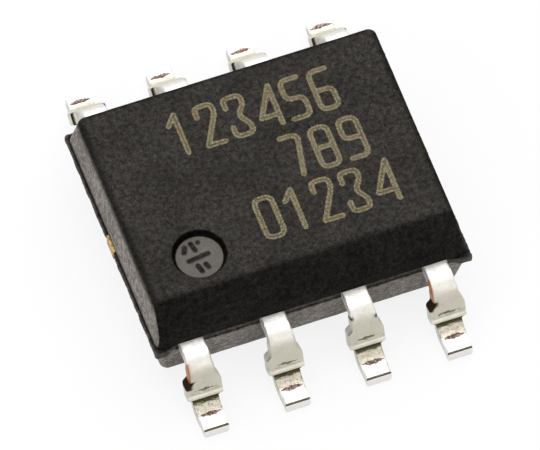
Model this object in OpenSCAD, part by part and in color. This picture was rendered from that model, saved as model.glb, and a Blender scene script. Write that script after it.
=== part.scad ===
// Eight-lead small-outline semiconductor package with gull-wing leads.
// The moulded body encloses a copper leadframe, a silicon die and its bond wires.
// Frame: +X along the lead rows, +Y to the back, +Z up. The origin is on the
// seating plane, at the centre of the package. Leads 1 to 4 stand in front, from
// left to right, and leads 5 to 8 at the back, from right to left. Millimetres.

/* [Body] */
// Length of the body at the parting plane
body_length = 4.88; // [4.6:0.02:6.0]
// Width of the body at the parting plane
body_width = 3.9; // [3.2:0.02:4.8]
// Height of the top face above the seating plane
package_height = 1.6; // [1.45:0.01:2.0]
// Gap between the underside and the seating plane
standoff = 0.15; // [0.1:0.01:0.25]
// Draft angle of the four sides
draft_angle = 10; // [5:0.5:12]
// Corner radius at the parting plane, seen from above
corner_radius = 0.12; // [0.05:0.01:0.2]
// Leg of the 45 degree chamfer that marks the row of lead 1
index_chamfer = 0.39; // [0.25:0.005:0.42]

/* [Parting line] */
// Depth of the trimmed groove between the leads
groove_depth = 0.04; // [0.01:0.005:0.08]
// Height of the groove under the upper half
groove_height = 0.14; // [0.08:0.01:0.18]
// Gap between the upper half and the flange that the mould leaves in the groove
flange_drop = 0.045; // [0.02:0.005:0.06]
// Overhang of the flange past each end of the body
flange_end = 0.04; // [0.01:0.005:0.1]
// Overhang of the flange past the two long sides
flange_side = 0.075; // [0.01:0.005:0.1]
// Length over which the flange turns the corners, along the long sides
flange_return = 0.15; // [0.08:0.01:0.2]
// Corner radius of the flange
flange_radius = 0.05; // [0.01:0.01:0.08]
// Clearance of the flange on each side of a tie bar
flange_gap = 0.03; // [0.01:0.005:0.1]

/* [Moulded marks] */
// Rim diameter of the round mark beside lead 1
mark_rim = 0.82; // [0.5:0.01:1.0]
// Floor diameter of the round mark
mark_floor = 0.71; // [0.4:0.01:0.95]
// Depth of the round mark
mark_depth = 0.1; // [0.02:0.005:0.12]
// Distance from the left end of the body to the centre of the mark
mark_from_end = 1.03; // [0.6:0.01:1.4]
// Distance from the front side of the body to the centre of the mark
mark_from_side = 1.01; // [0.85:0.005:1.3]
// Diameter of the two ejector marks on the underside
ejector_d = 0.7; // [0.4:0.05:0.9]
// Depth of the ejector marks
ejector_depth = 0.03; // [0.01:0.005:0.05]
// Distance between the centres of the ejector marks
ejector_pitch = 2.4; // [1.6:0.1:2.8]

/* [Leads] */
// Distance between neighbouring leads
lead_pitch = 1.27; // [1.1:0.01:1.35]
// Width of a lead
lead_width = 0.38; // [0.3:0.01:0.46]
// Thickness of the leadframe
lead_thickness = 0.2; // [0.15:0.01:0.25]
// Height of the leadframe's upper face where a lead leaves the body
lead_exit = 1.0; // [0.85:0.01:1.05]
// Flat shoulder between the body and the first bend
shoulder = 0.18; // [0.08:0.01:0.3]
// Inside radius of the bend under the shoulder
bend_radius = 0.1; // [0.05:0.01:0.15]
// Inside radius of the bend at the heel, on the upper face of the lead
heel_radius = 0.2; // [0.1:0.01:0.25]
// Angle through which leads 1 to 4 are bent down, and back up at the heel
front_bend_angle = 72; // [62:1:85]
// The same angle for leads 5 to 8, whose legs lean further out
back_bend_angle = 58; // [55:1:85]
// Flat length of the foot of leads 1 to 4
front_foot_length = 0.28; // [0.2:0.01:0.6]
// Flat length of the foot of leads 5 to 8
back_foot_length = 0.126; // [0.08:0.002:0.4]
// Width of a lead where the dam bar was cut off
dam_width = 0.58; // [0.48:0.01:0.66]
// Straight part of the leg above the remnant of the dam bar
dam_margin = 0.02; // [0.0:0.01:0.15]
// Angle of the heel's bend over which the remnant runs on
dam_heel_angle = 16; // [6:2:30]
// Upper corner radius of the remnant
dam_radius = 0.1; // [0.02:0.01:0.1]

/* [Leadframe inside the body] */
// Length of the die paddle
paddle_length = 2.5; // [2.0:0.05:2.7]
// Width of the die paddle
paddle_width = 2.1; // [1.75:0.05:2.3]
// Corner radius of the paddle
paddle_radius = 0.1; // [0.02:0.01:0.2]
// Depth of the paddle below the leads
downset = 0.18; // [0.05:0.01:0.22]
// Run of the tie bar's slope down to the paddle
downset_run = 0.25; // [0.15:0.01:0.3]
// Level length of a tie bar between the paddle and its slope
tie_flat = 0.08; // [0.02:0.01:0.12]
// Width of the tie bars
tie_width = 0.3; // [0.2:0.01:0.36]
// Length of the cut tie bars outside the body
tie_stub = 0.03; // [0.0:0.005:0.06]
// Gap between the paddle and the tips of the leads
paddle_gap = 0.2; // [0.12:0.01:0.25]
// Width of the bond post on an inner lead
post_width = 0.82; // [0.6:0.01:0.9]
// Length of the bond post on an inner lead
post_length = 0.32; // [0.2:0.01:0.35]
// Length of a corner lead beside the paddle's end
corner_post_length = 0.7; // [0.4:0.01:0.75]
// Corner radius of the bond posts
post_radius = 0.06; // [0.02:0.01:0.09]

/* [Die] */
// Length of the silicon die
die_length = 1.9; // [1.4:0.05:2.2]
// Width of the silicon die
die_width = 1.45; // [1.1:0.05:1.65]
// Thickness of the die
die_thickness = 0.28; // [0.2:0.01:0.34]
// Thickness of the die-attach adhesive
attach_thickness = 0.03; // [0.02:0.005:0.05]
// Adhesive squeezed out on each side of the die
attach_margin = 0.06; // [0.02:0.01:0.1]

/* [Bond wires] */
// Diameter of a bond wire
wire_d = 0.03; // [0.02:0.005:0.05]
// Diameter of the ball bond on the die
ball_d = 0.08; // [0.07:0.005:0.1]
// Height of the ball bond and of the stitch bond
bond_height = 0.024; // [0.02:0.002:0.04]
// Rise of a wire above the line between its two bonds
loop_rise = 0.2; // [0.1:0.01:0.25]
// Distance of the bonds from the edge of the die
pad_inset = 0.09; // [0.06:0.01:0.15]

/* [Hidden] */
$fn = 48;
// Cutting tools reach this far past the face that they cut
cut_margin = 0.1;
leads_per_row = 4;
lead_count = 2 * leads_per_row;
frame_bottom = lead_exit - lead_thickness;
lower_top = lead_exit - groove_height;
draft = tan(draft_angle);
dam_length = leg_length(front_bend_angle) - dam_margin;
paddle_top = lead_exit - downset;
attach_top = paddle_top + attach_thickness;
die_top = attach_top + die_thickness;
corner_post_width = (leads_per_row - 1) * lead_pitch / 2 + lead_width / 2 - paddle_length / 2 - paddle_gap;

// Straight length of a leg between its two bends, on the middle line of its strip
function leg_length(angle) =
    (frame_bottom - (bend_radius + heel_radius + lead_thickness) * (1 - cos(angle))) / sin(angle);

// Position of a lead along its row
function lead_x(n) =
    (n <= leads_per_row ? n - (leads_per_row + 1) / 2 : (3 * leads_per_row + 1) / 2 - n) * lead_pitch;

// 1 for the back row, -1 for the front row
function row_side(n) = n <= leads_per_row ? -1 : 1;

// True for the four leads that pass the ends of the paddle
function is_corner(n) = abs(lead_x(n)) > lead_pitch;

// Where a wire lands on its lead, in the plane of the leadframe
function post_bond(n) = is_corner(n)
    ? [sign(lead_x(n)) * (paddle_length / 2 + paddle_gap + corner_post_width / 2),
        row_side(n) * (paddle_width / 2 + paddle_gap - corner_post_length / 2)]
    : [lead_x(n), row_side(n) * (paddle_width / 2 + paddle_gap + post_length / 2)];

// Where a wire starts on the die
function die_bond(n) =
    [lead_x(n) / lead_x(leads_per_row) * (die_length / 2 - pad_inset),
        row_side(n) * (die_width / 2 - pad_inset)];

module rounded_rectangle(length, width, radius) {
    square([length - 2 * radius, width], center = true);
    square([length, width - 2 * radius], center = true);
    for (x = [-1, 1], y = [-1, 1])
        translate([x * (length / 2 - radius), y * (width / 2 - radius)])
            circle(r = radius);
}

// Block with a level base at z = 0 whose sides and round corners lean in by the draft
module drafted_block(length, width, height) {
    lean = height * draft;
    linear_extrude(height, scale = [1 - 2 * lean / length, 1 - 2 * lean / width], slices = 1)
        rounded_rectangle(length, width, corner_radius);
}

module upper_half() {
    difference() {
        translate([0, 0, lead_exit])
            drafted_block(body_length, body_width, package_height - lead_exit);
        index_cut();
        round_mark();
    }
}

// Wedge that takes the chamfer off the top edge above leads 1 to 4
module index_cut() {
    edge = body_width / 2 - (package_height - lead_exit - index_chamfer) * draft;
    reach = index_chamfer + cut_margin;
    translate([0, -edge, package_height - index_chamfer])
        rotate([90, 0, 90])
            linear_extrude(body_length + 2 * cut_margin, center = true)
                polygon([[-cut_margin, -cut_margin], [reach, reach], [-cut_margin, reach]]);
}

module round_mark() {
    translate([mark_from_end - body_length / 2, mark_from_side - body_width / 2, package_height - mark_depth])
        cylinder(h = mark_depth, d1 = mark_floor, d2 = mark_rim);
}

module lower_half() {
    difference() {
        translate([0, 0, lower_top])
            mirror([0, 0, 1])
                drafted_block(body_length, body_width, lower_top - standoff);
        for (x = [-1, 1])
            translate([x * ejector_pitch / 2, 0, standoff - cut_margin])
                cylinder(h = ejector_depth + cut_margin, d = ejector_d);
    }
}

// Thin ledge in the groove round both ends: it turns the corners and is notched at the tie bars
module flange() {
    length = body_length + 2 * flange_end;
    width = body_width + 2 * flange_side;
    notch_depth = groove_depth + flange_end;
    translate([0, 0, lower_top])
        linear_extrude(groove_height - flange_drop)
            difference() {
                rounded_rectangle(length, width, flange_radius);
                square([body_length - 2 * flange_return, width + 2 * cut_margin], center = true);
                for (x = [-1, 1])
                    translate([x * length / 2, 0])
                        square([2 * notch_depth, tie_width + 2 * flange_gap], center = true);
            }
}

module groove_core() {
    translate([0, 0, lower_top])
        linear_extrude(groove_height)
            rounded_rectangle(body_length - 2 * groove_depth, body_width - 2 * groove_depth, corner_radius);
}

module body() {
    color([0.17, 0.16, 0.15])
        difference() {
            union() {
                upper_half();
                groove_core();
                flange();
                lower_half();
            }
            for (n = [1:lead_count]) {
                lead(n);
                bond_wire(n);
            }
            die_paddle();
            die_attach();
            die();
        }
}

// Flat strip along +Y, centred on its thickness
module strip(width, length) {
    translate([-width / 2, 0, -lead_thickness / 2])
        cube([width, length, lead_thickness]);
}

// Strip bent down round an inside radius, then its children at the end of the bend
module bend_down(radius, angle, width) {
    middle = radius + lead_thickness / 2;
    translate([0, 0, -middle]) {
        rotate([0, -90, 0])
            rotate_extrude(angle = angle)
                translate([radius, -width / 2])
                    square([lead_thickness, width]);
        rotate([-angle, 0, 0])
            translate([0, 0, middle])
                children();
    }
}

// The same bend upwards
module bend_up(radius, angle, width) {
    mirror([0, 0, 1])
        bend_down(radius, angle, width)
            mirror([0, 0, 1])
                children();
}

// What is left of the dam bar above the heel, with round corners at its upper end
module dam_remnant() {
    linear_extrude(lead_thickness, center = true) {
        translate([0, -dam_length / 2])
            rounded_rectangle(dam_width, dam_length, dam_radius);
        translate([-dam_width / 2, -dam_length / 2])
            square([dam_width, dam_length / 2]);
    }
}

// Part of a lead outside the body, running out along +Y
module gull_wing(angle, foot_length) {
    leg = leg_length(angle);
    strip(lead_width, shoulder);
    translate([0, shoulder, 0])
        bend_down(bend_radius, angle, lead_width) {
            strip(lead_width, leg);
            translate([0, leg, 0]) {
                dam_remnant();
                bend_up(heel_radius, dam_heel_angle, dam_width)
                    bend_up(heel_radius, angle - dam_heel_angle, lead_width)
                        strip(lead_width, foot_length);
            }
        }
}

// Part of a lead inside the body: a neck and the post that its wire is bonded to
module inner_lead(n) {
    tip = paddle_width / 2 + paddle_gap;
    toward = -sign(lead_x(n)) * row_side(n);
    post = is_corner(n) ? [corner_post_width, corner_post_length] : [post_width, post_length];
    shift = is_corner(n) ? toward * (corner_post_width - lead_width) / 2 : 0;
    post_back = is_corner(n) ? tip - corner_post_length : tip;
    neck_start = post_back + post[1] / 2;
    linear_extrude(lead_thickness, center = true) {
        translate([-lead_width / 2, neck_start])
            square([lead_width, body_width / 2 - neck_start]);
        translate([shift, post_back + post[1] / 2])
            rounded_rectangle(post[0], post[1], post_radius);
    }
}

module lead(n) {
    color([0.83, 0.83, 0.81])
        translate([lead_x(n), 0, lead_exit - lead_thickness / 2])
            rotate([0, 0, row_side(n) > 0 ? 0 : 180]) {
                inner_lead(n);
                translate([0, body_width / 2, 0])
                    if (n <= leads_per_row)
                        gull_wing(front_bend_angle, front_foot_length);
                    else
                        gull_wing(back_bend_angle, back_foot_length);
            }
}

// Tie bar in section: level at the paddle, sloping up, level again out of the body's end
module tie_section() {
    inner = paddle_length / 2;
    foot = inner + tie_flat;
    head = foot + downset_run;
    end = body_length / 2 + tie_stub;
    polygon([[inner - tie_flat, paddle_top - lead_thickness], [foot, paddle_top - lead_thickness],
        [head, frame_bottom], [end, frame_bottom], [end, lead_exit], [head, lead_exit],
        [foot, paddle_top], [inner - tie_flat, paddle_top]]);
}

module die_paddle() {
    color([0.72, 0.46, 0.32]) {
        translate([0, 0, paddle_top - lead_thickness])
            linear_extrude(lead_thickness)
                rounded_rectangle(paddle_length, paddle_width, paddle_radius);
        for (turn = [0, 180])
            rotate([90, 0, turn])
                linear_extrude(tie_width, center = true)
                    tie_section();
    }
}

module die_attach() {
    color([0.75, 0.75, 0.72])
        translate([0, 0, paddle_top])
            linear_extrude(attach_thickness)
                square([die_length + 2 * attach_margin, die_width + 2 * attach_margin], center = true);
}

module die() {
    color([0.38, 0.42, 0.5])
        translate([0, 0, attach_top])
            linear_extrude(die_thickness)
                square([die_length, die_width], center = true);
}

// Ball bond on the die, an arc of wire, and a stitch bond on the lead
module bond_wire(n) {
    start = concat(die_bond(n), die_top);
    stop = concat(post_bond(n), lead_exit);
    run = norm(die_bond(n) - post_bond(n));
    drop = start[2] - stop[2];
    chord = norm([run, drop]);
    radius = (chord * chord / 4 + loop_rise * loop_rise) / (2 * loop_rise);
    half_angle = asin(chord / 2 / radius);
    heading = atan2(stop[1] - start[1], stop[0] - start[0]);
    slope = atan2(drop, run);
    color([0.88, 0.7, 0.3]) {
        for (bond = [start, stop])
            translate(bond)
                cylinder(h = bond_height, d = ball_d);
        translate(start + [0, 0, bond_height / 2])
            rotate([0, 0, heading])
                rotate([0, slope, 0])
                    translate([chord / 2, 0, loop_rise - radius])
                        rotate([90, 0, 0])
                            rotate([0, 0, 90 - half_angle])
                                rotate_extrude(angle = 2 * half_angle)
                                    translate([radius, 0])
                                        circle(d = wire_d);
    }
}

body();
lead(1);  // lead_1
lead(2);  // lead_2
lead(3);  // lead_3
lead(4);  // lead_4
lead(5);  // lead_5
lead(6);  // lead_6
lead(7);  // lead_7
lead(8);  // lead_8
die_paddle();
die_attach();
die();
bond_wire(1);  // bond_wire_1
bond_wire(2);  // bond_wire_2
bond_wire(3);  // bond_wire_3
bond_wire(4);  // bond_wire_4
bond_wire(5);  // bond_wire_5
bond_wire(6);  // bond_wire_6
bond_wire(7);  // bond_wire_7
bond_wire(8);  // bond_wire_8
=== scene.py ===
import math

import bmesh
import bpy
import numpy as np
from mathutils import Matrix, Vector, geometry, noise


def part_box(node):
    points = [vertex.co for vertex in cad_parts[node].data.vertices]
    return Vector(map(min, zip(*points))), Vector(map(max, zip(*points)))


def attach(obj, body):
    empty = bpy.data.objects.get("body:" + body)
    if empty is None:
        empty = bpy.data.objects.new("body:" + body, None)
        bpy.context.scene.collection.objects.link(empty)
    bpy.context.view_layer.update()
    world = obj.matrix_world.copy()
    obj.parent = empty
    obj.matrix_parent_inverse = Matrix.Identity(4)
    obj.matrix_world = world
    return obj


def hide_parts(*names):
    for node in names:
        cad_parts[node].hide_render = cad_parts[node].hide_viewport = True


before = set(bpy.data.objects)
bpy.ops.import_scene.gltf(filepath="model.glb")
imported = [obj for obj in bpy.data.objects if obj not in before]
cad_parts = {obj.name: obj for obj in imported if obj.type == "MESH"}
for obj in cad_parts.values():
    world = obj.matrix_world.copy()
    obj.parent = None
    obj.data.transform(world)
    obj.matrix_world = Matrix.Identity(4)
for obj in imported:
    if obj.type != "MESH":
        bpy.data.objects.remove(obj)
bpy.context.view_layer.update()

# Lengths are in millimetres here and become metres when a mesh is made.
MM = 0.001
DRAFT = math.tan(math.radians(10))


# ---------------------------------------------------------------- small helpers

def smooth(edge0, edge1, value):
    """0 below edge0, 1 above edge1, with a soft step between; either may be the larger."""
    t = np.clip((np.asarray(value, float) - edge0) / (edge1 - edge0), 0, 1)
    return t * t * (3 - 2 * t)


def wobble(points, scale, seed=0.0):
    """Smooth noise from -1 to 1 at each point, scale waves to the millimetre."""
    shift = Vector((seed * 17.3, seed * 7.9, seed * 3.1))
    return np.array([noise.noise(Vector(p) * scale + shift) for p in points])


def stretch(start, stop, step):
    """Places from start up to but not including stop, about a step apart."""
    count = max(1, round((stop - start) / step))
    return list(np.linspace(start, stop, count + 1)[:-1])


def box_skin(ni, nj, nk, far_cap=True):
    """Corners (i, j, k) and faces of the surface of a box of ni by nj by nk cells."""
    ids = np.full((ni + 1, nj + 1, nk + 1), -1)
    grid = np.stack(np.meshgrid(range(ni + 1), range(nj + 1), range(nk + 1), indexing="ij"), -1)
    i, j, k = grid[..., 0], grid[..., 1], grid[..., 2]
    outer = (i == 0) | (i == ni) | (j == 0) | (j == nj) | (k == 0)
    outer |= (k == nk) if far_cap else False
    ids[outer] = np.arange(outer.sum())
    sheets = [ids[0], ids[ni], ids[:, 0], ids[:, nj], ids[:, :, 0]]
    if far_cap:
        sheets.append(ids[:, :, nk])
    faces = []
    for n, s in enumerate(sheets):
        quads = np.stack([s[:-1, :-1], s[1:, :-1], s[1:, 1:], s[:-1, 1:]], -1).reshape(-1, 4)
        faces.append(quads if n in (1, 2, 5) else quads[:, ::-1])
    return grid[outer], np.concatenate(faces), ids


def make_piece(name, points, faces, material, stands_for, attributes, sharp=40):
    """A closed mesh in millimetres that rides on the one body and stands for a CAD node."""
    mesh = bpy.data.meshes.new(name)
    mesh.from_pydata((np.asarray(points) * MM).tolist(), [], [list(f) for f in faces])
    for key, values in attributes.items():
        mesh.attributes.new(key, "FLOAT", "POINT").data.foreach_set("value", np.asarray(values, np.float32))
    work = bmesh.new()
    work.from_mesh(mesh)
    bmesh.ops.recalc_face_normals(work, faces=work.faces)
    work.to_mesh(mesh)
    work.free()
    mesh.shade_smooth()
    mesh.set_sharp_from_angle(angle=math.radians(sharp))
    mesh.materials.append(material)
    obj = bpy.data.objects.new(name, mesh)
    bpy.context.scene.collection.objects.link(obj)
    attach(obj, "root")
    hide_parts(stands_for)
    return obj


class Finish:
    """A procedural material being built: adds nodes, and links or sets their sockets."""

    def __init__(self, name):
        self.material = bpy.data.materials.new(name)
        self.material.use_nodes = True
        self.tree = self.material.node_tree
        self.tree.nodes.clear()
        self.shader = self.tree.nodes.new("ShaderNodeBsdfPrincipled")
        output = self.tree.nodes.new("ShaderNodeOutputMaterial")
        self.tree.links.new(self.shader.outputs[0], output.inputs[0])
        place = self.tree.nodes.new("ShaderNodeTexCoord").outputs["Object"]
        self.mm = self.add("ShaderNodeVectorMath", {"operation": "SCALE"}, {0: place, "Scale": 1000.0})

    def put(self, socket, value):
        if isinstance(value, bpy.types.NodeSocket):
            self.tree.links.new(value, socket)
        else:
            socket.default_value = value

    def add(self, kind, settings, inputs, output=0):
        node = self.tree.nodes.new(kind)
        for key, value in settings.items():
            setattr(node, key, value)
        for key, value in inputs.items():
            self.put(node.inputs[key], value)
        return node.outputs[output]

    def set(self, **inputs):
        for key, value in inputs.items():
            self.put(self.shader.inputs[key.replace("_", " ")], value)

    def attribute(self, name):
        return self.add("ShaderNodeAttribute", {"attribute_name": name}, {}, "Fac")

    def math(self, operation, a, b=0.0, c=0.0):
        return self.add("ShaderNodeMath", {"operation": operation}, {0: a, 1: b, 2: c})

    def times(self, *factors):
        total = factors[0]
        for factor in factors[1:]:
            total = self.math("MULTIPLY", total, factor)
        return total

    def ramp(self, value, start, stop, low=0.0, high=1.0):
        """low up to start, high from stop on, with a soft step between."""
        settings = {"interpolation_type": "SMOOTHSTEP"}
        return self.add("ShaderNodeMapRange", settings,
                        {"Value": value, "From Min": start, "From Max": stop, "To Min": low, "To Max": high})

    def band(self, value, start, stop, soft):
        """1 between start and stop, 0 outside."""
        rising = self.ramp(value, start - soft, start + soft)
        return self.times(rising, self.ramp(value, stop - soft, stop + soft, 1.0, 0.0))

    def noise(self, scale, detail=2.0, roughness=0.5, vector=None, distortion=0.0):
        inputs = {"Vector": vector or self.mm, "Scale": scale, "Detail": detail,
                  "Roughness": roughness, "Distortion": distortion}
        return self.add("ShaderNodeTexNoise", {}, inputs)

    def squeezed(self, x, y, z):
        """The place in millimetres, with each axis scaled, for streaks."""
        return self.add("ShaderNodeVectorMath", {"operation": "MULTIPLY"}, {0: self.mm, 1: (x, y, z)})

    def mix(self, factor, a, b):
        return self.add("ShaderNodeMix", {"data_type": "RGBA"}, {0: factor, 6: a, 7: b}, 2)

    def blend(self, factor, a, b):
        return self.add("ShaderNodeMix", {"data_type": "FLOAT"}, {0: factor, 2: a, 3: b}, 0)

    def bump(self, height, microns):
        return self.add("ShaderNodeBump", {}, {"Height": height, "Distance": microns * 1e-6, "Strength": 1.0})


def rgb(r, g, b):
    return (r, g, b, 1.0)


# ---------------------------------------------------------------- materials

def mould_compound():
    """Black epoxy. The mesh says how pale, rough, shiny and gritty it is, and how far the marking is."""
    f = Finish("mould_compound")
    shade, rough, grit = f.attribute("shade"), f.attribute("rough"), f.attribute("grit")
    # grain on four scales
    grain = f.noise(30.0, 3.0, 0.65)
    blotch = f.noise(12.5, 3.0, 0.62)
    cloud = f.noise(1.7, 3.0, 0.55)
    fleck = f.ramp(f.noise(24.0, 2.0, 0.5, distortion=0.4), 0.6, 0.72)
    tone = f.times(f.ramp(grain, 0.3, 0.7, 0.66, 1.34), f.ramp(blotch, 0.34, 0.66, 0.64, 1.38))
    tone = f.times(tone, f.ramp(cloud, 0.3, 0.7, 0.86, 1.14))
    tone = f.math("ADD", tone, f.times(fleck, f.ramp(cloud, 0.35, 0.6, 0.25, 0.7)))
    tone = f.blend(grit, 1.0, tone)
    tint = f.mix(f.ramp(f.noise(7.0, 2.0, 0.5), 0.4, 0.6), rgb(1.0, 0.87, 0.83), rgb(1.0, 0.93, 0.78))
    body = f.add("ShaderNodeVectorMath", {"operation": "SCALE"}, {0: tint, "Scale": f.times(shade, tone)})
    # the laser marking: speckled strokes with a darker middle
    stroke = f.math("ADD", f.attribute("marking"), f.ramp(f.noise(60.0, 2.0, 0.6), 0.3, 0.7, -0.008, 0.008))
    burnt = f.ramp(stroke, 0.038, 0.048, 1.0, 0.0)
    dots = f.ramp(f.noise(44.0, 2.0, 0.6, distortion=0.5), 0.4, 0.6)
    core = f.ramp(stroke, 0.005, 0.02)
    laser = f.mix(dots, rgb(0.115, 0.1, 0.06), rgb(0.29, 0.255, 0.155))
    laser = f.mix(core, rgb(0.075, 0.064, 0.04), laser)
    laser = f.mix(f.times(f.ramp(cloud, 0.4, 0.65), 0.35), laser, rgb(0.19, 0.16, 0.1))
    colour = f.mix(burnt, body, laser)
    height = f.math("ADD", f.times(grain, 0.35), f.times(blotch, 0.65))
    height = f.math("SUBTRACT", height, f.times(burnt, 0.35))
    normal = f.bump(f.times(height, f.blend(grit, 0.2, 1.0)), 9.0)
    f.set(Base_Color=colour, Roughness=f.math("ADD", rough, f.ramp(blotch, 0.3, 0.7, -0.06, 0.06)),
          Specular_IOR_Level=f.times(f.attribute("sheen"), tone), Specular_Tint=rgb(1.0, 0.95, 0.87),
          Normal=normal)
    return f.material


def tinned_lead():
    """Matt tin plating: marks and a dark stripe at the heel, smudges, bare copper where the frame was cut,
    and painted shade greying the sides and darkening pockets beside them.
    """
    f = Finish("tinned_lead")
    along, across, upper = f.attribute("along"), f.attribute("across"), f.attribute("upper")
    rise, end, heel_marks, pocket = [f.attribute(name) for name in ("rise", "end", "heel_marks", "pocket")]
    fine = f.noise(42.0, 3.0, 0.6)
    medium = f.noise(15.0, 3.0, 0.6)
    broad = f.noise(5.0, 2.0, 0.5)
    streak = f.noise(1.0, 3.0, 0.6, f.squeezed(9.0, 60.0, 60.0))
    face = f.mix(f.ramp(along, 0.12, 0.5), rgb(0.72, 0.7, 0.685), rgb(0.57, 0.545, 0.465))
    face = f.mix(f.ramp(along, 0.8, 0.87), face, rgb(0.7, 0.68, 0.6))
    face = f.mix(f.ramp(along, 1.28, 1.35), face, rgb(0.86, 0.85, 0.84))
    # painted shade: the sides and underside a plainer grey than the upper face, for the lead's grey outlines
    tin = f.mix(upper, rgb(0.66, 0.65, 0.61), face)
    tin = f.mix(f.times(f.ramp(broad, 0.35, 0.7), 0.3), tin, rgb(0.5, 0.48, 0.4))
    tin = f.mix(f.times(f.ramp(medium, 0.45, 0.75), 0.22), tin, rgb(0.42, 0.4, 0.32))

    def mark(colour, mask):
        nonlocal tin
        tin = f.mix(mask, tin, colour)

    def lens(middle, half_length, half_width, ragged):
        """A smudge across the lead, thick in its middle and tapering to both sides."""
        side = f.math("DIVIDE", across, half_width)
        reach = f.math("SUBTRACT", half_length, f.times(side, side, half_length))
        reach = f.math("ADD", reach, f.ramp(medium, 0.3, 0.7, -ragged, ragged))
        off = f.math("ABSOLUTE", f.math("SUBTRACT", along, middle))
        return f.times(f.ramp(f.math("SUBTRACT", off, reach), -0.007, 0.005, 1.0, 0.0), upper)

    # the heel, darker and speckled, and a dark stripe with a sharp upper edge just below the ridge
    heel = f.times(f.band(along, 0.99, 1.27, 0.03), upper, heel_marks)
    mark(rgb(0.46, 0.415, 0.335), f.times(heel, f.ramp(medium, 0.3, 0.6, 0.45, 1.0)))
    mark(rgb(0.13, 0.105, 0.07), f.times(heel, f.ramp(f.noise(34.0, 2.0, 0.7), 0.55, 0.68), 0.75))
    below_ridge = f.math("ADD", along, f.ramp(streak, 0.3, 0.7, -0.03, 0.03))
    stripe = f.times(f.ramp(along, 0.9, 0.92), f.ramp(below_ridge, 1.0, 1.07, 1.0, 0.0), upper)
    mark(rgb(0.055, 0.05, 0.024), f.times(stripe, heel_marks))
    # the smudge at the foot with a pinkish rim, and the scratch above the ridge
    mark(rgb(0.1, 0.055, 0.045), f.times(lens(1.3, 0.044, 0.17, 0.014), f.ramp(fine, 0.3, 0.5, 0.55, 1.0)))
    mark(rgb(0.6, 0.4, 0.38), f.times(f.band(along, 1.3, 1.37, 0.02), upper, f.ramp(medium, 0.45, 0.65), 0.4))
    mark(rgb(0.17, 0.16, 0.1), f.times(lens(0.752, 0.026, 0.17, 0.014), f.ramp(fine, 0.3, 0.5, 0.45, 1.0)))
    mark(rgb(0.3, 0.29, 0.2), f.times(lens(0.79, 0.012, 0.24, 0.02), 0.5))
    # the tip's dark upper edge and its pale end face
    lip = f.times(f.ramp(end, 0.03, 0.022), f.ramp(rise, 0.055, 0.075))
    mark(rgb(0.075, 0.06, 0.028), f.times(lip, f.ramp(fine, 0.2, 0.5, 0.75, 1.0)))
    mark(rgb(0.88, 0.86, 0.83), f.times(f.ramp(end, 0.008, 0.003), f.ramp(rise, 0.075, 0.055)))
    # bare copper, and dark pockets at the sides that are painted shade with dirt in it
    mark(rgb(0.4, 0.17, 0.055), f.times(f.attribute("bare"), f.ramp(medium, 0.3, 0.45, 0.7, 1.0)))
    mark(rgb(0.03, 0.018, 0.01), pocket)
    roughness = f.math("ADD", f.ramp(fine, 0.3, 0.7, 0.36, 0.54), f.times(f.ramp(broad, 0.35, 0.7), 0.08))
    height = f.math("ADD", f.times(fine, 0.5), f.times(streak, 0.5))
    # the lead keeps its metal and its shine outside the pockets' painted shade
    outside_pocket = f.math("SUBTRACT", 1.0, pocket)
    f.set(Base_Color=tin, Metallic=f.times(outside_pocket, f.ramp(upper, 0.0, 1.0, 0.35, 1.0)), Roughness=roughness,
          Specular_IOR_Level=f.times(outside_pocket, 0.5), Normal=f.bump(height, 4.0))
    return f.material


def leadframe_copper():
    """Cut copper at the tie bars' ends, tarnished in patches."""
    f = Finish("leadframe_copper")
    patch = f.ramp(f.noise(16.0, 3.0, 0.6), 0.4, 0.62)
    streak = f.noise(1.0, 2.0, 0.6, f.squeezed(60.0, 12.0, 60.0))
    colour = f.mix(patch, rgb(0.52, 0.38, 0.12), rgb(0.2, 0.1, 0.035))
    f.set(Base_Color=colour, Metallic=0.9, Roughness=f.ramp(streak, 0.3, 0.7, 0.3, 0.55),
          Normal=f.bump(streak, 3.0))
    return f.material


def die_attach():
    """Silver-filled epoxy under the die."""
    f = Finish("die_attach")
    flake = f.noise(60.0, 3.0, 0.7)
    colour = f.mix(f.ramp(flake, 0.35, 0.65), rgb(0.42, 0.42, 0.4), rgb(0.66, 0.66, 0.64))
    f.set(Base_Color=colour, Metallic=0.6, Roughness=f.ramp(flake, 0.3, 0.7, 0.35, 0.6),
          Normal=f.bump(flake, 5.0))
    return f.material


def silicon():
    """Polished silicon with a fine lattice of circuit blocks on it."""
    f = Finish("silicon")
    block = f.add("ShaderNodeTexVoronoi", {"distance": "CHEBYCHEV"}, {"Vector": f.mm, "Scale": 7.0}, "Color")
    value = f.add("ShaderNodeSeparateColor", {}, {0: block}, 0)
    lines = f.ramp(f.noise(1.0, 1.0, 0.5, f.squeezed(6.0, 90.0, 6.0)), 0.45, 0.55)
    colour = f.mix(value, rgb(0.13, 0.15, 0.19), rgb(0.26, 0.25, 0.3))
    colour = f.mix(f.times(lines, 0.4), colour, rgb(0.4, 0.36, 0.28))
    f.set(Base_Color=colour, Metallic=0.5, Roughness=f.ramp(value, 0.0, 1.0, 0.16, 0.3),
          Normal=f.bump(lines, 0.6))
    return f.material


def gold_wire():
    """Drawn gold."""
    f = Finish("gold_wire")
    dull = f.noise(50.0, 2.0, 0.5)
    colour = f.mix(f.ramp(dull, 0.3, 0.7), rgb(0.95, 0.66, 0.24), rgb(0.84, 0.55, 0.2))
    f.set(Base_Color=colour, Metallic=1.0, Roughness=f.ramp(dull, 0.3, 0.7, 0.2, 0.36),
          Normal=f.bump(dull, 1.0))
    return f.material


# ---------------------------------------------------------------- the marks

# Strokes of the counting numbers on a grid of three columns and five rows, a to o
DIGITS = {"0": "acoma", "1": "dbn", "2": "dacfmo", "3": "dacfhlomj", "4": "cjl co",
          "5": "cagiom", "6": "camoig", "7": "acn", "8": "acoma gi", "9": "mocagi"}
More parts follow.
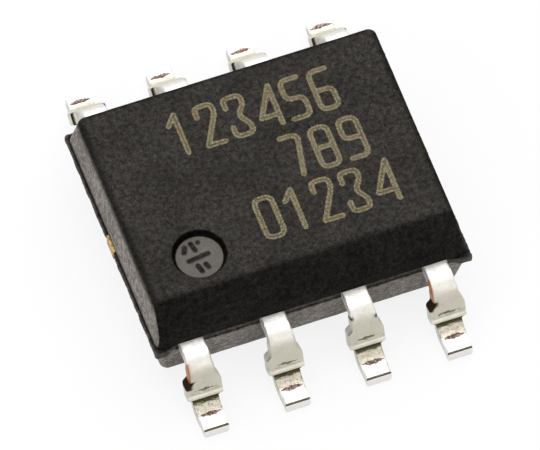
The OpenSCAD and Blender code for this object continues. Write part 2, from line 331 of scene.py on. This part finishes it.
# Rows of the laser marking: digits, middle of the first one, and height of the row's middle
ROWS = [("123456", -0.965, 1.085), ("789", 0.5, 0.155), ("01234", -0.235, -0.705)]
DIGIT_PITCH, DIGIT_HALF_WIDTH, DIGIT_HALF_HEIGHT = 0.447, 0.135, 0.34


def rounded(path, radius=0.11):
    """The path with its wide corners rounded; a path that ends where it starts is a ring."""
    ring = np.allclose(path[0], path[-1])
    bends = range(len(path) - 1) if ring else range(1, len(path) - 1)
    out = [] if ring else [path[0]]
    for n in bends:
        here, before, after = path[n], path[n - 1 if n else -2], path[n + 1]
        a, b = before - here, after - here
        la, lb = np.linalg.norm(a), np.linalg.norm(b)
        opening = a @ b / (la * lb)
        cut = min(radius, la / 2, lb / 2) if -0.98 < opening < 0.4 else 0.0
        start, stop = here + a / la * cut, here + b / lb * cut
        out += [(1 - t) ** 2 * start + 2 * t * (1 - t) * here + t * t * stop for t in np.linspace(0, 1, 7)]
    return out + ([out[0]] if ring else [path[-1]])


def digit_segments(digit, x, y):
    """The strokes of a digit about x, y as pairs of points."""
    segments = []
    for stroke in DIGITS[digit].split():
        path = []
        for letter in stroke:
            row, column = divmod(ord(letter) - ord("a"), 3)
            across, up = (column - 1) * DIGIT_HALF_WIDTH, (1 - row / 2) * DIGIT_HALF_HEIGHT
            path.append(np.array([x + across, y + up]))
        path = rounded(path)
        segments += list(zip(path, path[1:]))
    return segments


def distance(points, segments):
    """Distance of each point from the nearest segment, up to 0.2."""
    best = np.full(len(points), 0.2)
    for a, b in segments:
        run = b - a
        t = np.clip((points - a) @ run / max(run @ run, 1e-12), 0, 1)
        best = np.minimum(best, np.linalg.norm(points - a - t[:, None] * run, axis=1))
    return best


def marking_distance(points):
    """Distance of each point from the middle of the nearest stroke of the marking."""
    segments = []
    for digits, x, y in ROWS:
        for n, digit in enumerate(digits):
            segments += digit_segments(digit, x + n * DIGIT_PITCH, y)
    return distance(points, segments)


# ---------------------------------------------------------------- moulded body

BODY_LOW, BODY_HIGH = [np.array(v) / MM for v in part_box("body")]
TOP, BOTTOM = BODY_HIGH[2], BODY_LOW[2]
LEADFRAME_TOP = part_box("lead_1")[1][2] / MM
LEDGE = LEADFRAME_TOP - 0.14
FLANGE_END, FLANGE_SIDE = 0.04, 0.075
HALF_LENGTH, HALF_WIDTH = BODY_HIGH[0] - FLANGE_END, BODY_HIGH[1] - FLANGE_SIDE
CHAMFER = 0.39
EDGE, CORNER = 0.03, 0.12
# Round mark near lead 1, with plain raised bars on its floor: from x, y to x, y about its middle
MARK_X, MARK_Y, MARK_FLOOR, MARK_RIM, MARK_DEPTH = -1.41, -0.94, 0.355, 0.41, 0.1
MARK_BARS = [(-0.17, -0.02, 0.14, 0.02), (-0.05, 0.25, -0.02, 0.13), (0.06, 0.24, 0.06, 0.24),
             (-0.19, 0.14, -0.15, 0.22), (-0.07, -0.13, -0.04, -0.24), (0.05, -0.14, 0.07, -0.2)]
# Ejector marks underneath: places, radii of the foot and the top of their wall, and depth
EJECTOR_X, EJECTOR_FLOOR, EJECTOR_RIM, EJECTOR_DEPTH = 1.2, 0.345, 0.353, 0.03
# Width of the lattice's first strip at the front, and of its fine strips at the ends
FRONT_STRIP, END_STRIP = 0.04, 0.24
# Groove under the upper half: how far it goes in, its levels above the flange, and their whole number
GROOVE, ABOVE_FLANGE, GROOVE_LEVELS = 0.04, 4, 13


def leaning(depth, at_top, radius=EDGE):
    """Reach of a drafted side at a depth below its rounded top edge."""
    centre = at_top + radius * DRAFT - radius / math.cos(math.atan(DRAFT))
    if depth < radius * (1 - math.sin(math.atan(DRAFT))):
        return centre + math.sqrt(max(0.0, radius ** 2 - (radius - depth) ** 2))
    return at_top + depth * DRAFT


def chamfered(depth, at_top):
    """Reach of the front side, whose top edge is cut at 45 degrees, at a depth below the top."""
    radius = 0.05
    if depth < radius * (1 - math.sqrt(0.5)):
        bulge = math.sqrt(max(0.0, radius ** 2 - (radius - depth) ** 2))
        slope = at_top + radius - radius * math.sqrt(2) + bulge
    else:
        slope = at_top + depth
    side = at_top + CHAMFER + (depth - CHAMFER) * DRAFT
    soft = 0.03
    h = min(1.0, max(0.0, 0.5 + 0.5 * (side - slope) / soft))
    return side * (1 - h) + slope * h - soft * h * (1 - h)


def body_levels():
    """Levels of the body from the top face down, and the index of the first level of the groove.

    A level is its height, half-length, front, back, and front and back corner radius. It is given twice,
    as it is where the flange is missing and where the flange is there."""
    levels = upper_levels()
    groove = len(levels)
    return np.array(levels + groove_levels() + lower_levels()), groove


def upper_levels():
    """The upper half: rounded top edge, draft, and the chamfer along the front."""
    upper = TOP - LEADFRAME_TOP
    top_length, top_width = HALF_LENGTH - upper * DRAFT, HALF_WIDTH - upper * DRAFT
    top_front = HALF_WIDTH - (upper - CHAMFER) * DRAFT - CHAMFER
    depths = [EDGE * (1 - math.cos(math.radians(a))) for a in (0, 16, 32, 48, 64, 80)]
    depths += [0.04, 0.07, 0.11, 0.15, 0.19, 0.23, 0.27, 0.31, 0.34, 0.36, 0.37, 0.38, 0.39, 0.4, 0.41, 0.42]
    depths += [0.44, 0.46, 0.49, 0.52, 0.55, 0.575, 0.59, 0.596, 0.6]
    levels = []
    for d in depths:
        under = max(0.0, d - (upper - 0.01))
        inset = 0.01 - math.sqrt(max(0.0, 0.01 ** 2 - under ** 2))
        front_radius = 0.03 + (CORNER - 0.03) * float(smooth(0.0, CHAMFER, d))
        level = (TOP - d, leaning(d, top_length) - inset, chamfered(d, top_front) - inset,
                 leaning(d, top_width) - inset, front_radius, CORNER)
        levels.append((level, level))
    return levels


def groove_levels():
    """The groove under the upper half, and the flange that stands in it."""
    levels = []

    def ring(z, reach, z_flange, share):
        """A level with its sides at reach, and where the flange is, share of the way out to its edge."""
        plain = (z, HALF_LENGTH + reach, HALF_WIDTH + reach, HALF_WIDTH + reach, CORNER, CORNER)
        out_x, out_y = -GROOVE + share * (FLANGE_END + GROOVE), -GROOVE + share * (FLANGE_SIDE + GROOVE)
        radius = CORNER + share * (0.05 - CORNER)
        flange = (z_flange, HALF_LENGTH + out_x, HALF_WIDTH + out_y, HALF_WIDTH + out_y, radius, radius)
        levels.append((plain, flange))

    flange_top = LEADFRAME_TOP - 0.045
    ring(LEADFRAME_TOP, -0.025, LEADFRAME_TOP, 0.13)
    ring(LEADFRAME_TOP, -GROOVE, LEADFRAME_TOP, 0.0)
    ring(0.985, -GROOVE, 0.985, 0.0)
    ring(0.97, -GROOVE, flange_top + 0.004, 0.0)
    ring(0.955, -GROOVE, flange_top, 0.1)
    ring(0.945, -GROOVE, flange_top, 0.6)
    ring(0.935, -GROOVE, flange_top, 0.9)
    ring(0.92, -GROOVE, flange_top - 0.012, 1.0)
    ring(0.905, -GROOVE, flange_top - 0.045, 1.0)
    ring(0.89, -GROOVE, LEDGE + 0.015, 1.0)
    ring(0.875, -GROOVE, LEDGE, 0.9)
    ring(LEDGE, -GROOVE, LEDGE, 0.7)
    ring(LEDGE, -0.02, LEDGE, 0.6)
    return levels


def lower_levels():
    """The lower half, drafted inwards, with a rounded lower edge."""
    lower = LEDGE - BOTTOM
    rounding = 0.05
    depths = [0.0, 0.004, 0.012, 0.04, 0.08, 0.13, 0.19, 0.25, 0.32, 0.39, 0.46, 0.53]
    depths += [0.59, 0.63, 0.66, 0.68, 0.695, 0.705, 0.71]
    levels = []
    for d in depths:
        start = 0.012 - math.sqrt(max(0.0, 0.012 ** 2 - max(0.0, 0.012 - d) ** 2))
        near = max(0.0, d - (lower - rounding))
        reach = -d * DRAFT - start - (rounding - math.sqrt(max(0.0, rounding ** 2 - near ** 2)))
        level = (LEDGE - d, HALF_LENGTH + reach, HALF_WIDTH + reach, HALF_WIDTH + reach, CORNER, CORNER)
        levels.append((level, level))
    return levels


def outline(x, y, ref, level):
    """Where lattice place x, y of the reference level goes on another level, with round corners."""
    z, hx, yf, yb, rf, rb = level.T
    _, HX, YF, YB, _, _ = ref
    share = np.clip((y + YF - FRONT_STRIP) / (YB + YF - FRONT_STRIP - CORNER), 0, 1)
    r = rf + (rb - rf) * share
    inner = HX - CORNER
    ex = np.clip((np.abs(x) - inner) / CORNER, 0, 1)
    px = np.minimum(np.abs(x) / inner, 1) * (hx - r) + ex * r
    ef = np.clip((-(YF - FRONT_STRIP) - y) / FRONT_STRIP, 0, 1)
    eb = np.clip((y - (YB - CORNER)) / CORNER, 0, 1)
    py = -(yf - rf) + share * ((yb - rb) + (yf - rf)) - ef * rf + eb * rb
    ey = np.maximum(ef, eb)
    size = np.hypot(ex, ey)
    round_off = np.where((ex > 0) & (ey > 0), np.maximum(ex, ey) / np.maximum(size, 1e-9), 1.0)
    px = np.where(ex > 0, (hx - r) + ex * r * round_off, px)
    py = np.where(ef > 0, -(yf - rf) - ef * rf * round_off, py)
    py = np.where(eb > 0, (yb - rb) + eb * rb * round_off, py)
    return np.sign(x) * px, py


def moulded_underside(rim):
    """Points and faces that close the underside inside its rim, with two round ejector marks."""
    places = [Vector((p[0], p[1])) for p in rim]
    edges = [(n, (n + 1) % len(rim)) for n in range(len(rim))]
    for x in (-EJECTOR_X, EJECTOR_X):
        for radius in (EJECTOR_FLOOR, EJECTOR_RIM):
            first = len(places)
            for a in range(64):
                turn = a * math.tau / 64
                places.append(Vector((x + radius * math.cos(turn), radius * math.sin(turn))))
            edges += [(first + n, first + (n + 1) % 64) for n in range(64)]
    for x in np.arange(-2.2, 2.21, 0.1):
        for y in np.arange(-1.7, 1.71, 0.1):
            if min(abs(math.hypot(x - c, y) - 0.35) for c in (-EJECTOR_X, EJECTOR_X)) > 0.04:
                places.append(Vector((float(x), float(y))))
    points, _, faces, *_ = geometry.delaunay_2d_cdt(places, edges, [], 1, 1e-7)
    flat = np.array([[p.x, p.y] for p in points])
    from_mark = np.hypot(np.abs(flat[:, 0]) - EJECTOR_X, flat[:, 1])
    return flat, from_mark < (EJECTOR_FLOOR + EJECTOR_RIM) / 2, faces


def body_lattice(ref, zone):
    """Places of the lattice lines in x and y: close together at the edges and the round mark."""
    end, front, back = ref[1:4]
    xs = stretch(-end, -end + CORNER, 0.015) + stretch(-end + CORNER, -end + END_STRIP, 0.017)
    xs += stretch(-end + END_STRIP, MARK_X - zone, 0.05) + stretch(MARK_X - zone, MARK_X + zone, 0.0149)
    xs += stretch(MARK_X + zone, 1.86, 0.03) + stretch(1.86, end - END_STRIP, 0.05)
    xs += stretch(end - END_STRIP, end - CORNER, 0.017) + stretch(end - CORNER, end, 0.015) + [end]
    ys = stretch(-front, -front + FRONT_STRIP, 0.01)
    ys += stretch(MARK_Y - zone, MARK_Y + zone, 0.0149) + stretch(MARK_Y + zone, 1.52, 0.03)
    ys += stretch(1.52, back - CORNER, 0.05) + stretch(back - CORNER, back, 0.015) + [back]
    return np.array(xs), np.array(ys)


def with_flange(X, Y, k, levels, groove):
    """Lattice points on their levels, with the ragged flange round the ends and the corners."""
    x0, y0 = outline(X, Y, levels[0, 0], levels[k, 0])
    x1, y1 = outline(X, Y, levels[0, 0], levels[k, 1])
    z0, z1 = levels[k, 0, 0], levels[k, 1, 0]
    at = np.stack([x1, y1, z1 * 0.0], -1)
    ragged = wobble(at, 7.0) * 0.6 + wobble(at, 23.0, 1) * 0.4
    there = smooth(2.262, 2.30, np.abs(x1) + ragged * 0.03)
    there *= smooth(0.16, 0.2, np.abs(y1) + ragged * 0.02)
    x = x0 + (x1 - x0) * there
    y = y0 + (y1 - y0) * there
    z = z0 + (z1 - z0) * there
    lip = there * ((k >= groove + ABOVE_FLANGE) & (k < groove + GROOVE_LEVELS - 1))
    grow = lip * (ragged * 0.016 - 0.006)
    x += np.sign(x) * grow * (np.abs(y) < HALF_WIDTH)
    y += np.sign(y) * grow * (np.abs(y) > HALF_WIDTH - 0.06)
    z += lip * wobble(at, 13.0, 2) * 0.006
    return x, y, z


def with_round_mark(x, y, z, X, Y, top, zone):
    """The points of the top with the lattice's squares round the mark made circles, and its floor sunk;
    also each point's distance from the mark's middle and how much of a raised bar it is."""
    ex, ey = X - MARK_X, Y - MARK_Y
    square = np.maximum(np.abs(ex), np.abs(ey))
    rounding = smooth(zone, 0.44, square) * top
    squeeze = square / np.maximum(np.hypot(ex, ey), 1e-9)
    x = x + rounding * (MARK_X + ex * squeeze - x)
    y = y + rounding * (MARK_Y + ey * squeeze - y)
    radius = np.hypot(x - MARK_X, y - MARK_Y)
    middle = np.array([MARK_X, MARK_Y])
    bars = [(middle + bar[:2], middle + bar[2:]) for bar in MARK_BARS]
    relief = smooth(0.045, 0.028, distance(np.stack([x, y], -1), bars)) * (top & (radius < 0.345))
    inside = smooth(MARK_RIM + 0.006, MARK_FLOOR - 0.006, radius) * top
    return x, y, z - inside * MARK_DEPTH + relief * 0.014, radius, relief


def over(values, amount, value):
    """The values, covered with value by amount."""
    return values * (1 - amount) + value * amount


def body_tones(x, y, place, k, groove, sides, ref, radius, relief):
    """How pale, rough, shiny and gritty the moulded surface is at each point.

    place is where the point was before the surface was made wavy."""
    top, front, left, right = sides
    z = place[:, 2]
    end, front_edge, back_edge = ref[1:4]
    depth = TOP - z
    # painted light: how pale a side is by depth below the top, palest in the middle of its band and darker
    # towards its top edge and towards the groove
    painted_side_light = smooth(0.03, 0.17, depth) * smooth(0.6, 0.52, depth)
    in_groove = (k >= groove) & (k < groove + ABOVE_FLANGE)
    on_flange = (k >= groove + ABOVE_FLANGE) & (k < groove + GROOVE_LEVELS)
    flange_edge = on_flange & (k >= groove + ABOVE_FLANGE + 2)
    below = k >= groove + GROOVE_LEVELS
    # painted light and shade: the one compound gets lit and shaded copies of its shade by side, the front
    # near-black, the right dark, the left pale, the back in between
    # the later of these that holds at a point decides
    shade = 0.02 + 0.05 * painted_side_light
    shade = np.where(right, 0.012, shade)
    shade = np.where(left, 0.025 + 0.145 * painted_side_light, shade)
    shade = np.where(front, 0.0065, shade)
    rough = np.where(front, 0.62, 0.72)
    sheen = np.where(left, 0.1 + 0.25 * painted_side_light, 0.12)
    sheen = np.where(front, 0.07, sheen)
    grit = np.where(front, 1.3, 1.15)
    # painted shade in the groove and on the flange's inner part, the flange's outer edge left paler, and the
    # lower half made pale as painted light reflected from the floor
    for where, pale, shine in ((in_groove, 0.01, 0.04), (on_flange, 0.02, 0.04), (flange_edge, 0.06, 0.2),
                               (below, 0.18, 0.5)):
        shade, sheen = np.where(where, pale, shade), np.where(where, shine, sheen)
    rough = np.where(k >= groove, 0.7, rough)
    grit = np.where(k >= groove, 1.2, grit)
    # the top face, reaching over its edges where they turn down, with painted shade darkening it towards its
    # edges
    turned_down = np.where(front, smooth(TOP - 0.03, TOP - 0.002, z), smooth(TOP - 0.02, TOP - 0.004, z))
    top_amount = np.where(top, 1.0, turned_down)
    from_edge = np.minimum(smooth(0.0, 0.075, end - x), smooth(0.01, 0.1, end + x))
    from_edge = np.minimum(from_edge, smooth(-0.01, 0.04, back_edge - y))
    from_edge = np.minimum(from_edge, smooth(-0.03, 0.09, front_edge + y + 0.02 * wobble(place, 9.0, 5)))
    # the round mark: wall darkened with painted shade, smooth floor made pale by a painted reflection, rough
    # raised bars
    floor_amount = smooth(MARK_FLOOR + 0.002, MARK_FLOOR - 0.012, radius) * top
    wall_amount = smooth(MARK_RIM + 0.012, MARK_RIM - 0.008, radius) * top * (1 - floor_amount)
    tones = {"shade": (shade, 0.008 + 0.018 * from_edge, 0.075, 0.003, 0.02),
             "rough": (rough, 0.64, 0.42, None, 0.75),
             "sheen": (sheen, 0.075, 0.4, 0.02, 0.05),
             "grit": (grit, 1.0, 0.22, None, 1.0)}
    attributes = {}
    for name, (values, on_top, on_floor, on_wall, on_bars) in tones.items():
        values = over(over(values, top_amount, on_top), floor_amount, on_floor)
        if on_wall is not None:
            values = over(values, wall_amount, on_wall)
        attributes[name] = over(values, relief, on_bars)
    return attributes


def body_shell():
    """The moulded body: a lattice wrapped over its top and sides, and closed underneath."""
    levels, groove = body_levels()
    ref = levels[0, 0]
    zone = MARK_Y + ref[2] - FRONT_STRIP
    xs, ys = body_lattice(ref, zone)
    ni, nj, last = len(xs) - 1, len(ys) - 1, len(levels) - 1
    corners, faces, ids = box_skin(ni, nj, last, far_cap=False)
    i, j, k = corners.T
    X, Y, top = xs[i], ys[j], k == 0
    x, y, z = with_flange(X, Y, k, levels, groove)
    x, y, z, radius, relief = with_round_mark(x, y, z, X, Y, top, zone)
    flat, place = np.stack([x, y], -1), np.stack([x, y, z], -1)

    # Slight waviness of the moulded faces, more on the lower half.
    wave = wobble(place, 5.0, 3) * 0.0015 + (k >= groove) * wobble(place, 16.0, 4) * 0.0025
    left, right = ~top & (i == 0), ~top & (i == ni)
    front, back = ~top & (j == 0), ~top & (j == nj)
    x = x + wave * (right.astype(float) - left)
    y = y + wave * (back.astype(float) - front)

    sides = top, front, left, right
    attributes = body_tones(x, y, place, k, groove, sides, ref, radius, relief)
    attributes["marking"] = np.where(top, marking_distance(flat), 0.2)

    # The underside closes the shell.
    loop = [ids[a, 0, last] for a in range(ni)] + [ids[ni, b, last] for b in range(nj)]
    loop += [ids[a, nj, last] for a in range(ni, 0, -1)] + [ids[0, b, last] for b in range(nj, 0, -1)]
    under, in_mark, under_faces = moulded_underside(np.stack([x[loop], y[loop]], -1))
    known = list(loop) + list(range(len(x), len(x) + len(under) - len(loop)))
    more, sunk = under[len(loop):], in_mark[len(loop):]
    x, y = np.append(x, more[:, 0]), np.append(y, more[:, 1])
    z = np.append(z, np.where(sunk, BOTTOM + EJECTOR_DEPTH, BOTTOM))
    faces = faces.tolist() + [[known[n] for n in face] for face in under_faces]
    underneath = {"shade": 0.06, "rough": 0.72, "sheen": 0.3, "grit": 1.0, "marking": 0.2}
    for name, value in underneath.items():
        attributes[name] = np.append(attributes[name], np.full(len(more), value))
    points = np.stack([x, y, z], -1)
    return make_piece("moulded_body", points, faces, mould_compound(), "body", attributes)


# ---------------------------------------------------------------- leads

THICK = 0.2
EXIT = HALF_WIDTH
TIP = -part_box("lead_1")[0][1] / MM
BENDS = {"front": math.radians(72), "back": math.radians(58)}
SHOULDER, UPPER_RADIUS, LOWER_RADIUS = 0.18, 0.2, 0.3
MIDDLE = LEADFRAME_TOP - THICK / 2
PITCH, HALF_NECK = 1.27, 0.19
OUTER_LEADS = (1, 4, 5, 8)
# Widths and marks are placed by a length along the lead that ends the leg and the heel alike in both rows.
LEG_END, HEEL_END = 0.909, 1.286


def lead_path(bend):
    """A lead's middle line: a function from distance along it to reach, height and tilt, and where its
    straight leg ends, its heel ends and its tip is."""
    leg = (MIDDLE - THICK / 2 - (UPPER_RADIUS + LOWER_RADIUS) * (1 - math.cos(bend))) / math.sin(bend)
    upper_end = SHOULDER + UPPER_RADIUS * bend
    leg_end = upper_end + leg
    heel_end = leg_end + LOWER_RADIUS * bend
    reach_at_upper = SHOULDER + UPPER_RADIUS * math.sin(bend)
    reach_at_heel = reach_at_upper + leg * math.cos(bend) + LOWER_RADIUS * math.sin(bend)
    tip = heel_end + (TIP - EXIT - reach_at_heel)

    def at(s):
        if s <= SHOULDER:
            return s, MIDDLE, 0.0
        if s <= upper_end:
            a = (s - SHOULDER) / UPPER_RADIUS
            return SHOULDER + UPPER_RADIUS * math.sin(a), MIDDLE - UPPER_RADIUS * (1 - math.cos(a)), a
        if s <= leg_end:
            d = s - upper_end
            z = MIDDLE - UPPER_RADIUS * (1 - math.cos(bend))
            return reach_at_upper + d * math.cos(bend), z - d * math.sin(bend), bend
        if s <= heel_end:
            a = bend - (s - leg_end) / LOWER_RADIUS
            return reach_at_heel - LOWER_RADIUS * math.sin(a), THICK / 2 + LOWER_RADIUS * (1 - math.cos(a)), a
        return reach_at_heel + s - heel_end, THICK / 2, 0.0

    return at, leg_end, heel_end, tip


def length_along(s, leg_end, heel_end):
    """Distance along the middle line, fitted so that the leg and the heel end at the shared lengths."""
    t = s - leg_end + LEG_END
    on_heel = (s - leg_end) / (heel_end - leg_end)
    t = np.where(s > leg_end, LEG_END + on_heel * (HEEL_END - LEG_END), t)
    return np.where(s > heel_end, HEEL_END + s - heel_end, t)


def lead_widths(t):
    """Half-widths of a lead towards -x and +x outside the body: neck, cut-off dam bar, foot."""
    foot = 0.0775 * smooth(0.9, 0.985, t) + 0.01 * smooth(1.2, 1.5, t)
    right = HALF_NECK + 0.015 * smooth(0.3, 0.4, t) + 0.0775 * smooth(0.43, 0.67, t) - foot
    left = HALF_NECK + 0.012 * smooth(0.3, 0.4, t) + 0.075 * smooth(0.55, 0.65, t) - foot
    return left, right


def inner_widths(centre, reach):
    """Half-widths inside the body, towards -x and +x: a neck, then the bond post."""
    if abs(centre) > PITCH:
        wide = HALF_NECK + 0.455 * float(smooth(1.26, 1.2, reach))
        return (wide, HALF_NECK) if centre > 0 else (HALF_NECK, wide)
    wide = HALF_NECK + 0.22 * float(smooth(1.58, 1.54, reach))
    return wide, wide


def rounded_section(u, v, left, right, soft):
    """Places across and through a lead for u and v from -1 to 1, with its edges rounded by soft."""
    half, thin = np.where(u < 0, left, right), THICK / 2
    across, rise = u * half, v * thin
    edge_across = np.clip((np.abs(across) - (half - soft)) / soft, 0, 1)
    edge_rise = np.clip((np.abs(rise) - (thin - soft)) / soft, 0, 1)
    size = np.maximum(np.hypot(edge_across, edge_rise), 1e-9)
    at_corner = (edge_across > 0) & (edge_rise > 0)
    pull = np.where(at_corner, np.maximum(edge_across, edge_rise) / size, 1.0)
    across = np.where(edge_across > 0, np.sign(across) * (half - soft + edge_across * soft * pull), across)
    rise = np.where(edge_rise > 0, np.sign(rise) * (thin - soft + edge_rise * soft * pull), rise)
    return across, rise


def tool_relief(t, across):
    """What the forming tool leaves on the upper face: a ridge, and a scratch and a crease in it."""
    scratch = 0.007 * np.exp(-((t - 0.755) / 0.012) ** 2) * smooth(0.2, 0.1, np.abs(across - 0.02))
    ridge = 0.012 * smooth(0.825, 0.86, t) * smooth(0.92, 0.9, t)
    crease = 0.014 * smooth(0.905, 0.935, t) * smooth(1.02, 0.98, t)
    return ridge - scratch - crease


# Bare copper and dark pockets at the leads' sides, the pockets painted shade with dirt in them: kind, lead,
# side, from, to, and how far in from the edge
SIDE_MARKS = [("bare", 1, -1, 0.3, 0.64, 0.02), ("bare", 4, -1, 0.2, 0.56, 0.014),
              ("pocket", 1, -1, 0.565, 0.7, 0.085), ("pocket", 4, -1, 0.5, 0.66, 0.06),
              ("pocket", 3, -1, 0.35, 0.375, 0.03), ("pocket", 3, 1, 0.385, 0.41, 0.05),
              ("pocket", 5, 1, 0.55, 0.6, 0.03), ("pocket", 8, 1, 0.55, 0.6, 0.03)]
SIDE_MARKS += [("pocket", n, -1, 0.6, 0.64, 0.03) for n in (5, 6, 7, 8)]


def side_marks(n, t, across, left, right):
    """How bare, and how much of a pocket, each point of lead n is."""
    marks = {"bare": np.zeros(len(t)), "pocket": np.zeros(len(t))}
    for kind, lead_number, side, start, stop, inward in SIDE_MARKS:
        if lead_number == n:
            edge = np.where(side < 0, left, right) - inward
            amount = smooth(edge - 0.015, edge + 0.01, across * side) * smooth(start - 0.02, start + 0.01, t)
            marks[kind] = np.maximum(marks[kind], amount * smooth(stop + 0.02, stop - 0.01, t))
    return marks


def lead(n, material):
    """One lead: a rounded strip swept from its bond post out over the shoulder, leg, heel and foot."""
    in_front = n <= 4
    row = -1 if in_front else 1
    centre = (n - 2.5) * PITCH if in_front else (6.5 - n) * PITCH
    at, leg_end, heel_end, tip = lead_path(BENDS["front" if in_front else "back"])
    inner = np.linspace(0.55 if n in OUTER_LEADS else 1.25, EXIT - 0.02, 34) - EXIT
    outer = np.arange(0.0, tip - 0.006, 0.012)
    stations = np.concatenate([inner, outer, [tip - 0.006, tip - 0.002, tip]])
    na, nb, last = 14, 6, len(stations) - 1
    corners, faces, _ = box_skin(na, nb, last)
    i, j, k = corners.T
    s = stations[k]
    u, v = i / na * 2 - 1, j / nb * 2 - 1
    reach, height, tilt = np.array([at(max(0.0, a)) for a in stations])[k].T
    reach = reach + np.minimum(s, 0.0)
    t = length_along(s, leg_end, heel_end)
    left, right = lead_widths(t)
    for m in np.unique(k[s < 0]):
        here = k == m
        left[here], right[here] = inner_widths(centre, EXIT + stations[m])
    soft = 0.028 + 0.006 * wobble(np.stack([s, u * 0.2, v * 0.1], -1), 6.0, n) + 0.006 * (k == last)
    across, rise = rounded_section(u, v, left, right, soft)
    outside = s > 0.01
    upper = smooth(0.02, 0.07, rise) * outside
    rise = rise + upper * tool_relief(t, across)
    uneven = wobble(np.stack([s, across, rise], -1), 14.0, n + 10) * 0.0016 * outside
    rise = rise + uneven * np.sign(rise)
    # the cut end is drawn slightly in at its top edge
    reach = reach - 0.004 * smooth(0.0, 0.1, rise) * (k == last)
    out, z = reach + rise * np.sin(tilt), height + rise * np.cos(tilt)
    points = np.stack([centre + across, row * (EXIT + out), np.maximum(z, 0.0)], -1)
    # only the front row shows a dark line at its tip, and the heel's marks at full strength
    end = tip - s + (0.0 if in_front else 1.0)
    heel_marks = np.full(len(s), 1.0 if in_front else 0.3)
    attributes = {"along": t, "across": across, "upper": upper, "rise": rise, "end": end, "heel_marks": heel_marks}
    attributes |= side_marks(n, t, across, left, right)
    return make_piece(f"tinned_lead_{n}", points, faces, material, f"lead_{n}", attributes, 50)


# ---------------------------------------------------------------- scene

def finish_inner_pieces():
    """The parts inside the body keep their CAD shape and get their own finishes."""
    finishes = {"die_paddle": leadframe_copper(), "die_attach": die_attach(), "die": silicon()}
    gold = gold_wire()
    for name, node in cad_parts.items():
        material = finishes.get(name) or (gold if name.startswith("bond_wire") else None)
        if material is not None:
            node.data.materials.clear()
            node.data.materials.append(material)


def area_light(name, direction, distance_m, size_m, watts):
    """A square lamp that looks at the object from a direction."""
    lamp = bpy.data.lights.new(name, "AREA")
    lamp.shape, lamp.size, lamp.energy = "SQUARE", size_m, watts
    obj = bpy.data.objects.new(name, lamp)
    obj.location = Vector(direction).normalized() * distance_m
    obj.rotation_euler = Vector(direction).to_track_quat("Z", "Y").to_euler()
    obj.visible_camera = False
    bpy.context.scene.collection.objects.link(obj)


def seen_rays(tree):
    """1 for rays that show the background: seen straight, in a reflection or through glass."""
    path = tree.nodes.new("ShaderNodeLightPath")
    total = path.outputs["Is Camera Ray"]
    for other in ("Is Glossy Ray", "Is Transmission Ray"):
        add = tree.nodes.new("ShaderNodeMath")
        add.operation, add.use_clamp = "ADD", True
        tree.links.new(total, add.inputs[0])
        tree.links.new(path.outputs[other], add.inputs[1])
        total = add.outputs[0]
    return total


def studio():
    """A white room that lights softly: it is dimmer as a light than it looks, and so is its floor."""
    world = bpy.data.worlds.new("studio")
    world.use_nodes = True
    tree = world.node_tree
    background = tree.nodes["Background"]
    background.inputs["Color"].default_value = rgb(1, 1, 1)
    strength = tree.nodes.new("ShaderNodeMix")
    strength.inputs[2].default_value = 0.42
    strength.inputs[3].default_value = 1.0
    tree.links.new(seen_rays(tree), strength.inputs[0])
    tree.links.new(strength.outputs[0], background.inputs["Strength"])
    bpy.context.scene.world = world

    material = bpy.data.materials.new("studio_floor")
    material.use_nodes = True
    tree = material.node_tree
    tree.nodes.clear()
    matt = tree.nodes.new("ShaderNodeBsdfDiffuse")
    matt.inputs["Color"].default_value = rgb(0.9, 0.9, 0.9)
    white = tree.nodes.new("ShaderNodeEmission")
    share = tree.nodes.new("ShaderNodeMath")
    share.operation = "MULTIPLY"
    share.inputs[1].default_value = 0.84
    mixed = tree.nodes.new("ShaderNodeMixShader")
    output = tree.nodes.new("ShaderNodeOutputMaterial")
    tree.links.new(seen_rays(tree), share.inputs[0])
    tree.links.new(share.outputs[0], mixed.inputs[0])
    tree.links.new(matt.outputs[0], mixed.inputs[1])
    tree.links.new(white.outputs[0], mixed.inputs[2])
    tree.links.new(mixed.outputs[0], output.inputs[0])
    mesh = bpy.data.meshes.new("floor")
    mesh.from_pydata([(-1.5, -1.5, 0), (1.5, -1.5, 0), (1.5, 1.5, 0), (-1.5, 1.5, 0)], [], [(0, 1, 2, 3)])
    mesh.materials.append(material)
    floor = bpy.data.objects.new("floor", mesh)
    bpy.context.scene.collection.objects.link(floor)

    area_light("key", (0.14, 0.5, 0.86), 0.5, 0.8, 3.2)
    area_light("fill_left", (-0.9, -0.25, 0.5), 0.5, 0.35, 0.55)
    area_light("fill_front", (0.3, -0.9, 0.55), 0.5, 0.3, 0.3)


def camera():
    """Long lens, from the front left and above."""
    azimuth, elevation, away = math.radians(-20.07), math.radians(59.31), 0.198274
    target = Vector((-0.108, -0.39, 0.8)) * MM
    data = bpy.data.cameras.new("camera")
    data.lens, data.sensor_width = 896.9, 36.0
    data.clip_start, data.clip_end = 0.01, 20.0
    obj = bpy.data.objects.new("camera", data)
    obj.location = target + away * Vector((math.sin(azimuth) * math.cos(elevation),
                                           -math.cos(azimuth) * math.cos(elevation), math.sin(elevation)))
    obj.rotation_euler = (math.pi / 2 - elevation, 0, azimuth)
    bpy.context.scene.collection.objects.link(obj)
    bpy.context.scene.camera = obj


bpy.context.scene.view_settings.view_transform = "Standard"
body_shell()
tin = tinned_lead()
for number in range(1, 9):
    lead(number, tin)
finish_inner_pieces()
studio()
camera()
